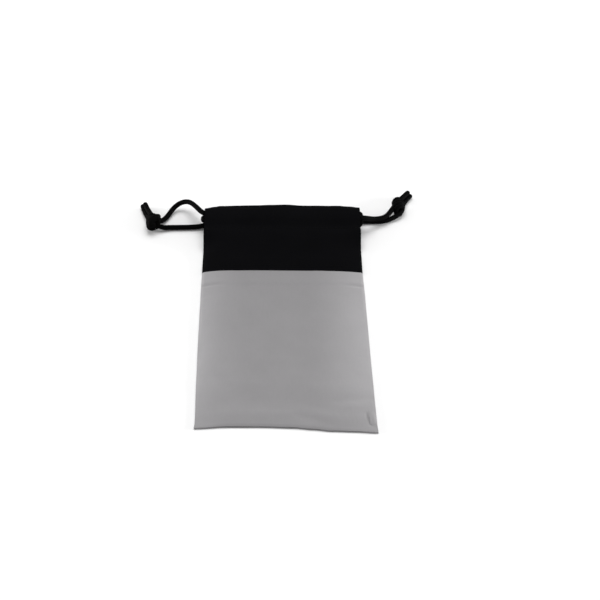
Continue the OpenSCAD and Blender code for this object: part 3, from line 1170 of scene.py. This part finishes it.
@dataclass
class Braid:
    """Makes lengths of round braid."""

    radius: float = 1.45
    sides: int = 28
    gap: float = 0.4
    relief: float = 0.09
    plaits: int = 8
    pitch: float = 2.4

    def tube(
        self, name: str, route: Sequence[Sequence[float]], tips: tuple[bool, bool] = (True, True),
        supple: float = 0.0,
    ) -> tuple[bpy.types.Object, list[Vector]]:
        """Plaits a cord along a route.

        Args:
            name: The piece's name.
            route: Points in mm.
            tips: Whether each end is rounded off.
            supple: How far the cord rounds its bends, in mm.

        Returns:
            The piece, and the middle line in metres.
        """
        r = self.radius
        line = smooth_line(route, self.gap)
        for _ in range(round(2 * (supple / self.gap) ** 2)):
            middle = [(a + 2 * b + c) / 4 for a, b, c in zip(line, line[1:], line[2:])]
            line = [line[0], *middle, line[-1]]
        count = len(line) - 1
        ways = [(line[min(count, i + 1)] - line[max(0, i - 1)]).normalized() for i in range(count + 1)]
        up = ways[0].orthogonal().normalized()
        frames = []
        for way in ways:
            up = (up - way * up.dot(way)).normalized()
            frames.append((up.copy(), way.cross(up)))
        total = count * self.gap
        bm = bmesh.new()
        uv = bm.loops.layers.uv.new("braid")
        bmesh.ops.create_grid(bm, x_segments=self.sides, y_segments=count, size=1)
        share = {v: ((v.co.x + 1) / 2, (v.co.y + 1) / 2) for v in bm.verts}
        for f in bm.faces:
            for loop in f.loops:
                u, v = share[loop.vert]
                loop[uv].uv = (u, v * total * MM)
        for vert, (u, v) in share.items():
            i = round(v * count)
            a = 2 * math.pi * u
            k = self.plaits / 2 * 2 * math.pi * i * self.gap / self.pitch
            plait = math.sin(self.plaits * a / 2 + k / 2) * math.sin(self.plaits * a / 2 - k / 2)
            rr = r + self.relief * plait
            for end, near in ((0, i * self.gap), (1, (count - i) * self.gap)):
                if tips[end] and near < r:
                    rr *= max(0.03, math.sqrt(max(0.0, 1 - (1 - near / r) ** 2)))
            e, n = frames[i]
            vert.co = line[i] + (e * math.cos(a) + n * math.sin(a)) * rr
        bmesh.ops.remove_doubles(bm, verts=bm.verts, dist=1e-4)
        bmesh.ops.holes_fill(bm, edges=[e for e in bm.edges if e.is_boundary], sides=0)
        bmesh.ops.recalc_face_normals(bm, faces=bm.faces)
        return link(name, bm, sharp=180), [p * MM for p in line]


@dataclass
class DrawCord:
    """One drawcord: its run in each hem, the turn-back, two strands, a knot and two tails."""

    side: Side
    finishes: Finishes
    front_y: float
    back_y: float
    front_route: Sequence[tuple[float, float, float]]
    back_route: Sequence[tuple[float, float, float]]
    knot_ends: tuple[tuple[float, float, float], tuple[float, float, float]]
    knot_r: float
    front_length: float
    back_length: float
    front_nodes: Sequence[str]
    back_nodes: Sequence[str]
    knot_start: float = 0.1
    knot_steps: int = 28
    wound: float = 0.66
    turn_steps: int = 12
    supple: float = 2.4
    diameter: float = 0.0029
    run_x: float = 44.6
    front_z: float = 10.35
    back_z: float = 2.05
    braid: Braid = field(default_factory=Braid)

    @property
    def word(self) -> str:
        """The cord's side, as in its nodes' names."""
        return self.side.word

    def hold(self, piece: bpy.types.Object, body: str, *nodes: str) -> bpy.types.Object:
        """Dresses a piece of cord, hangs it on a body and names its CAD nodes."""
        self.finishes.dress(piece, "drawcord")
        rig.ride(piece, body)
        if nodes:
            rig.replaces(piece, *nodes)
        log.info("%s", piece.name)
        return piece

    def knot(self) -> bpy.types.Object:
        """Winds the lump of the overhand knot that locks both strands.

        Returns:
            The knot: two lengths of cord wound side by side round the strands, and led back over themselves.
        """
        a, b = (Vector(p) for p in self.knot_ends)
        middle, axis = (a + b) / 2, (b - a).normalized()
        cord_r = self.diameter / 2 / MM
        out = self.knot_r - cord_r
        half = (b - a).length / 2 + self.knot_r - cord_r
        flat = axis.cross(Vector((0, 0, 1))).normalized()
        up = flat.cross(axis).normalized()
        lanes = []
        for lane in (-0.5, 0.5):
            route = []
            for k in range(self.knot_steps + 1):
                t = k / self.knot_steps
                wind = min(1.0, t / self.wound)
                over = max(0.0, (t - self.wound) / (1 - self.wound))
                turn = 2 * math.pi * (self.knot_start + 1.75 * wind + 0.62 * over) * -self.side.value
                along = (-0.62 + 1.3 * wind - 1.34 * ease(over)) * half + lane * 2 * cord_r * (1 - 0.5 * over)
                along = max(-half, min(half, along))
                r = out * math.sqrt(max(0.12, 1 - 0.75 * (along / half) ** 2)) + math.sin(math.pi * over)
                r *= ease(t / 0.08) * ease((1 - t) / 0.08) * 0.75 + 0.25
                point = middle + axis * along + (flat * math.cos(turn) + up * math.sin(turn)) * r
                point.z = max(point.z, cord_r + 0.05)
                route.append(point)
            lanes.append(self.braid.tube(f"{self.word}_knot_lane_{lane}", route)[0])
        piece = join(f"{self.word}_overhand_knot", lanes)
        return self.hold(piece, f"{self.word}_cord", f"{self.word}_knot")

    def strand(
        self, name: str, route: Sequence[tuple[float, float, float]], length: float, nodes: Sequence[str],
        knot: bpy.types.Object, front: bool,
    ) -> None:
        """Lays one strand from the hem, through the knot, to the tip of its tail.

        Args:
            name: The piece's name.
            route: Points in metres.
            length: Its real length in metres.
            nodes: The CAD nodes it stands for.
            knot: The knot it runs through.
            front: Whether it comes from the front hem, which lifts.
        """
        points = [Vector(p) / MM for p in route]
        piece, line = self.braid.tube(name, points, tips=(False, True), supple=self.supple)
        self.finishes.dress(piece, "drawcord")
        ends = {"with_pieces": [knot]} if front else {}
        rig.cord(
            piece, exit=route[0], length=length, diameter=self.diameter, far_end="knot" if front else "bare",
            stiffness="limp", lay="loose", path=line, **ends,
        )
        body = f"{self.word}_cord"
        if front:
            start = Vector(self.knot_ends[0]) * MM
            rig.blend(piece, body, f"{self.word}_front_run", start=start, end=Vector(route[0]))
        else:
            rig.ride(piece, body)
        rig.replaces(piece, *nodes)
        log.info("%s: %.0f mm of cord", name, length / MM)

    def build(self) -> None:
        """Makes the whole cord."""
        w, x, s = self.word, self.run_x, self.side.value
        knot = self.knot()
        self.strand(f"{w}_front_strand", self.front_route, self.front_length, self.front_nodes, knot, True)
        self.strand(f"{w}_back_strand", self.back_route, self.back_length, self.back_nodes, knot, False)
        for face, y, z, body in (
            (Face.FRONT, self.front_y, self.front_z, f"{w}_front_run"),
            (Face.BACK, self.back_y, self.back_z, f"{w}_cord"),
        ):
            route = [(s * x * k, y, z) for k in (1.0, 0.5, 0.0, -0.5, -1.0)]
            piece, _ = self.braid.tube(f"{w}_{face.value}_channel_run", route, tips=(False, False))
            self.hold(piece, body, f"{w}_cord_{face.value}_run")
        mid, r = (self.front_z + self.back_z) / 2, (self.front_z - self.back_z) / 2
        turn = []
        for k in range(self.turn_steps + 1):
            a = math.pi * (k / self.turn_steps - 0.5)
            y = (self.front_y + self.back_y) / 2 + (self.front_y - self.back_y) / 2 * math.sin(a)
            turn.append((-s * (x - 0.2 + 1.3 * math.cos(a)), y, mid + r * math.sin(a)))
        piece, _ = self.braid.tube(f"{w}_turn_back", turn, tips=(False, False))
        self.finishes.dress(piece, "drawcord")
        low, high = Vector((0, self.back_y, self.back_z)) * MM, Vector((0, self.front_y, self.front_z)) * MM
        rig.blend(piece, f"{w}_cord", f"{w}_front_run", start=low, end=high)
        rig.replaces(piece, f"{w}_cord_bight")
        log.info("%s", piece.name)


# --------------------------------------------------------------------------------------------------
# The studio
# --------------------------------------------------------------------------------------------------


@dataclass
class Studio:
    """Floor, light and camera."""

    elevation: float = 38.1313
    yaw: float = 1.7574
    roll: float = 1.1281
    distance: float = 0.79901
    aim: tuple[float, float, float] = (0.009114, 0.014648, 0.0)
    lens: float = 87.722
    floor_gap: float = 0.2

    def floor(self) -> None:
        """Lays a wide white sheet of paper under the pouch."""
        bm = bmesh.new()
        bmesh.ops.create_grid(bm, x_segments=4, y_segments=4, size=3000)
        bmesh.ops.translate(bm, verts=bm.verts, vec=(0, 0, -self.floor_gap))
        paper = link("studio_floor", bm)
        paper.data.materials.append(StudioPaper().material())
        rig.stage(paper)

    def lamp(self, name: str, at: tuple[float, float, float], size: float, power: float) -> None:
        """Hangs a square soft light that faces the pouch."""
        data = bpy.data.lights.new(name, "AREA")
        data.shape, data.size, data.energy = "SQUARE", size, power
        lamp = bpy.data.objects.new(name, data)
        lamp.location = at
        lamp.rotation_euler = (-Vector(at)).to_track_quat("-Z", "Y").to_euler()
        bpy.context.scene.collection.objects.link(lamp)

    def light(self) -> None:
        """Lights the pouch softly from behind and above, with fill from both sides."""
        world = bpy.data.worlds.new("white_room")
        world.use_nodes = True
        back = world.node_tree.nodes["Background"]
        back.inputs["Color"].default_value = (1, 1, 1, 1)
        back.inputs["Strength"].default_value = 0.45
        bpy.context.scene.world = world
        self.lamp("top_light", (0.0, 0.45, 1.35), 1.1, 12.0)
        self.lamp("left_light", (-1.3, 0.0, 0.2), 0.35, 14.0)
        self.lamp("right_light", (1.3, 0.0, 0.2), 0.35, 16.0)

    def camera(self) -> None:
        """Sets up the camera."""
        e, w, r = (math.radians(v) for v in (self.elevation, self.yaw, self.roll))
        ahead = Vector((math.sin(w) * math.cos(e), math.cos(w) * math.cos(e), -math.sin(e)))
        right = ahead.cross(Vector((0, 0, 1))).normalized()
        up = right.cross(ahead)
        right, up = right * math.cos(r) + up * math.sin(r), up * math.cos(r) - right * math.sin(r)
        data = bpy.data.cameras.new("camera")
        data.lens, data.sensor_width, data.sensor_fit = self.lens, 36.0, "HORIZONTAL"
        data.clip_start, data.clip_end = 0.01, 20.0
        cam = bpy.data.objects.new("camera", data)
        turn = Matrix((right, up, -ahead)).transposed().to_4x4()
        cam.matrix_world = Matrix.Translation(Vector(self.aim) - ahead * self.distance) @ turn
        bpy.context.scene.collection.objects.link(cam)
        bpy.context.scene.camera = cam
        bpy.context.scene.view_settings.view_transform = "Standard"

    def build(self) -> None:
        """Sets the studio up."""
        self.floor()
        self.light()
        self.camera()


def main() -> None:
    """Builds the pouch in order and notes the model's size."""
    logging.basicConfig(level=logging.INFO, format="%(name)s: %(message)s")
    Studio().build()
    finishes = Finishes()
    DrawCord(
        side=Side.LEFT, finishes=finishes, front_y=82.4, back_y=82.4, knot_r=4.2,
        knot_ends=((-74.6, 77.9, 4.3), (-75.2, 86.3, 4.4)),
        front_length=0.0732, back_length=0.0529,
        front_nodes=("left_strand_front", "left_tail_long"),
        back_nodes=("left_strand_back", "left_tail_short"),
        front_route=(
            (-0.0446, 0.0824, 0.01035), (-0.0458, 0.0824, 0.01035), (-0.0471, 0.0847, 0.0101),
            (-0.0493, 0.0893, 0.0094), (-0.0513, 0.0934, 0.0085), (-0.0536, 0.098, 0.0073),
            (-0.0563, 0.1011, 0.006), (-0.0594, 0.1017, 0.0049), (-0.0619, 0.1007, 0.0038),
            (-0.0639, 0.0986, 0.0029), (-0.0654, 0.096, 0.0021), (-0.0667, 0.0931, 0.0016),
            (-0.0682, 0.0897, 0.0015), (-0.07, 0.0868, 0.002), (-0.0719, 0.0836, 0.0034),
            (-0.0743, 0.0837, 0.0042), (-0.0764, 0.0852, 0.0039), (-0.078, 0.0879, 0.0029),
            (-0.0793, 0.0922, 0.002), (-0.0806, 0.0966, 0.0015), (-0.0817, 0.1002, 0.0015),
            (-0.0825, 0.1035, 0.0015),
        ),
        back_route=(
            (-0.0446, 0.0824, 0.00205), (-0.0456, 0.0824, 0.00205), (-0.0478, 0.0814, 0.0017),
            (-0.0524, 0.0812, 0.0015), (-0.0576, 0.0809, 0.0015), (-0.0628, 0.0809, 0.0015),
            (-0.0674, 0.0804, 0.0017), (-0.0706, 0.0786, 0.0029), (-0.0733, 0.0803, 0.0045),
            (-0.0749, 0.0842, 0.0058), (-0.0766, 0.0882, 0.00575), (-0.0779, 0.0921, 0.00495),
            (-0.0792, 0.0959, 0.00435), (-0.0801, 0.099, 0.00425), (-0.0809, 0.1015, 0.00425),
        ),
    ).build()
    DrawCord(
        side=Side.RIGHT, finishes=finishes, front_y=78.4, back_y=86.4, knot_r=3.7,
        knot_ends=((69.1, 93.6, 3.9), (68.3, 102.8, 4.3)),
        front_length=0.0506, back_length=0.0498,
        front_nodes=("right_strand_front", "right_tail_long"),
        back_nodes=("right_strand_back", "right_tail_short"),
        front_route=(
            (0.0446, 0.0784, 0.01035), (0.0458, 0.0784, 0.01035), (0.0479, 0.079, 0.0097),
            (0.0498, 0.0808, 0.0082), (0.0514, 0.0826, 0.0066), (0.0536, 0.0844, 0.0052),
            (0.0565, 0.0857, 0.0046), (0.0588, 0.0862, 0.0046), (0.0611, 0.0882, 0.0046),
            (0.0631, 0.0917, 0.0046), (0.0647, 0.0952, 0.0045), (0.0666, 0.0984, 0.0048),
            (0.0684, 0.1016, 0.0052), (0.0702, 0.1041, 0.00545), (0.0718, 0.1074, 0.00475),
            (0.0733, 0.1101, 0.00435), (0.0748, 0.1124, 0.00425), (0.0761, 0.1142, 0.00425),
        ),
        back_route=(
            (0.0446, 0.0864, 0.00205), (0.0456, 0.0864, 0.00205), (0.0477, 0.0869, 0.0016),
            (0.0503, 0.0876, 0.0015), (0.0532, 0.0874, 0.0015), (0.0561, 0.0872, 0.0015),
            (0.0594, 0.0873, 0.0015), (0.0622, 0.0887, 0.0015), (0.0649, 0.0903, 0.0017),
            (0.0674, 0.0916, 0.0025), (0.0699, 0.0936, 0.003), (0.0708, 0.0984, 0.0033),
            (0.0718, 0.1029, 0.0029), (0.0733, 0.107, 0.002), (0.0749, 0.1105, 0.0015),
            (0.0763, 0.1128, 0.0015), (0.0777, 0.1148, 0.0015),
        ),
    ).build()
    lie = Lie()
    Panels(lie, finishes).build()
    hems = Hems(lie, finishes)
    hems.build()
    Seams(lie, finishes).build()
    Stitching(lie, finishes, hems).build()
    made_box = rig.bounds()
    with open("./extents.json", "w") as f:
        json.dump({"cad": [list(c) for c in cad_box], "visual": [list(c) for c in made_box]}, f)


if __name__ == "__main__":
    main()
